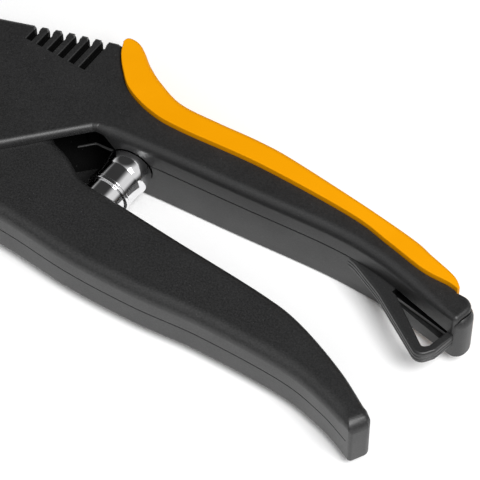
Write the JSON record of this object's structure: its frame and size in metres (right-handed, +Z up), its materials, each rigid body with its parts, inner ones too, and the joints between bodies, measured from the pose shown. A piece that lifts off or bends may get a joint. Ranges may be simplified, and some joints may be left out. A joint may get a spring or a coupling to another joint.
{
  "type": "wire stripper",
  "caption": "Automatic wire stripper: pistol-style body with orange grip strip, squeeze lever, chrome spring strut, clamping jaws that part the insulation and a lanyard eye.",
  "frame": {"origin": "centre of the bounding box on the plane the tool's back lies on", "axes": "+X from the jaws to the handle ends, +Y from the lever towards the fixed handle, +Z up through the thickness to the front cover"},
  "size_m": [0.1944, 0.0902, 0.0222],
  "materials": {
    "charcoal_plastic": "finely grained glass-filled plastic, charcoal",
    "orange_plastic": "smooth yellow-orange plastic",
    "chrome": "polished",
    "steel": "ground",
    "dark_metal": "die-cast, dark coating",
    "bronze": "sintered bronze",
    "zinc_plate": "zinc plated"
  },
  "bodies": {
    "housing": {"main_shell": "charcoal_plastic", "cover_shell": "charcoal_plastic", "handle_grip": "orange_plastic", "shell_screw_1": "zinc_plate", "shell_screw_2": "zinc_plate", "shell_screw_3": "zinc_plate", "shell_screw_4": "zinc_plate", "shell_screw_5": "zinc_plate", "lever_pin": "steel", "upper_jaw_pin": "steel", "lower_jaw_pin": "steel", "strut_seat": "dark_metal"},
    "lever": {"lever_front_half": "charcoal_plastic", "lever_back_half": "charcoal_plastic", "lever_bush": "bronze", "drive_pin": "steel", "lever_screw_1": "zinc_plate", "lever_screw_2": "zinc_plate"},
    "puller": {"pull_plate": "steel"},
    "upper_jaw_arm": {"upper_jaw": "dark_metal", "upper_clamp_pad": "steel", "upper_cam_pin": "steel"},
    "lower_jaw_arm": {"lower_jaw": "dark_metal", "lower_clamp_pad": "steel", "lower_cam_pin": "steel"},
    "upper_carrier": {"upper_blade_carrier": "zinc_plate", "upper_blade": "chrome"},
    "lower_carrier": {"lower_blade_carrier": "zinc_plate", "lower_blade": "chrome"},
    "strut_barrel": {"strut_cap": "chrome"},
    "strut_rod": {"strut_sleeve": "chrome", "strut_spring": "steel"},
    "stop": {"length_stop": "orange_plastic"}
  },
  "joints": [
    {"name": "lever_squeeze", "type": "hinge", "parent": "housing", "child": "lever", "pos_m": [-0.02266, 0.03407, 0.0102], "axis": [0, 0, 1], "range_deg": [0, 8.5], "stiffness_Nm_per_rad": 3, "springref_deg": -17.19},
    {"name": "pull_slide", "type": "slide", "parent": "housing", "child": "puller", "axis": [1, 0, 0], "range_m": [0, 0.00417]},
    {"name": "upper_jaw_close", "type": "hinge", "parent": "housing", "child": "upper_jaw_arm", "pos_m": [-0.05266, 0.02907, 0.0102], "axis": [0, 0, 1], "range_deg": [0, 6]},
    {"name": "lower_jaw_close", "type": "hinge", "parent": "housing", "child": "lower_jaw_arm", "pos_m": [-0.05266, 0.01307, 0.0102], "axis": [0, 0, -1], "range_deg": [0, 6]},
    {"name": "upper_blade_pull", "type": "slide", "parent": "upper_jaw_arm", "child": "upper_carrier", "axis": [0.9945, -0.1045, 0], "range_m": [0, 0.00417]},
    {"name": "lower_blade_pull", "type": "slide", "parent": "lower_jaw_arm", "child": "lower_carrier", "axis": [0.9945, 0.1045, 0], "range_m": [0, 0.00417]},
    {"name": "strut_swing", "type": "hinge", "parent": "housing", "child": "strut_barrel", "pos_m": [0.00842, 0.01393, 0.0102], "axis": [0, 0, 1], "range_deg": [0, 14.87]},
    {"name": "strut_slide", "type": "slide", "parent": "strut_barrel", "child": "strut_rod", "axis": [0.3746, 0.9272, 0], "range_m": [0, 0.00522], "deforming": ["strut_spring"]},
    {"name": "stop_slide", "type": "slide", "parent": "housing", "child": "stop", "axis": [-1, 0, 0], "range_m": [0, 0.006]}
  ],
  "couplings": [
    {"joint": "pull_slide", "follows": "lever_squeeze", "m_per_rad": 0.028066},
    {"joint": "upper_jaw_close", "follows": "lever_squeeze", "ratio": 0.70588},
    {"joint": "lower_jaw_close", "follows": "lever_squeeze", "ratio": 0.70588},
    {"joint": "upper_blade_pull", "follows": "lever_squeeze", "m_per_rad": 0.028066},
    {"joint": "lower_blade_pull", "follows": "lever_squeeze", "m_per_rad": 0.028066},
    {"joint": "strut_swing", "follows": "lever_squeeze", "ratio": 1.7485},
    {"joint": "strut_slide", "follows": "lever_squeeze", "m_per_rad": 0.035161}
  ]
}
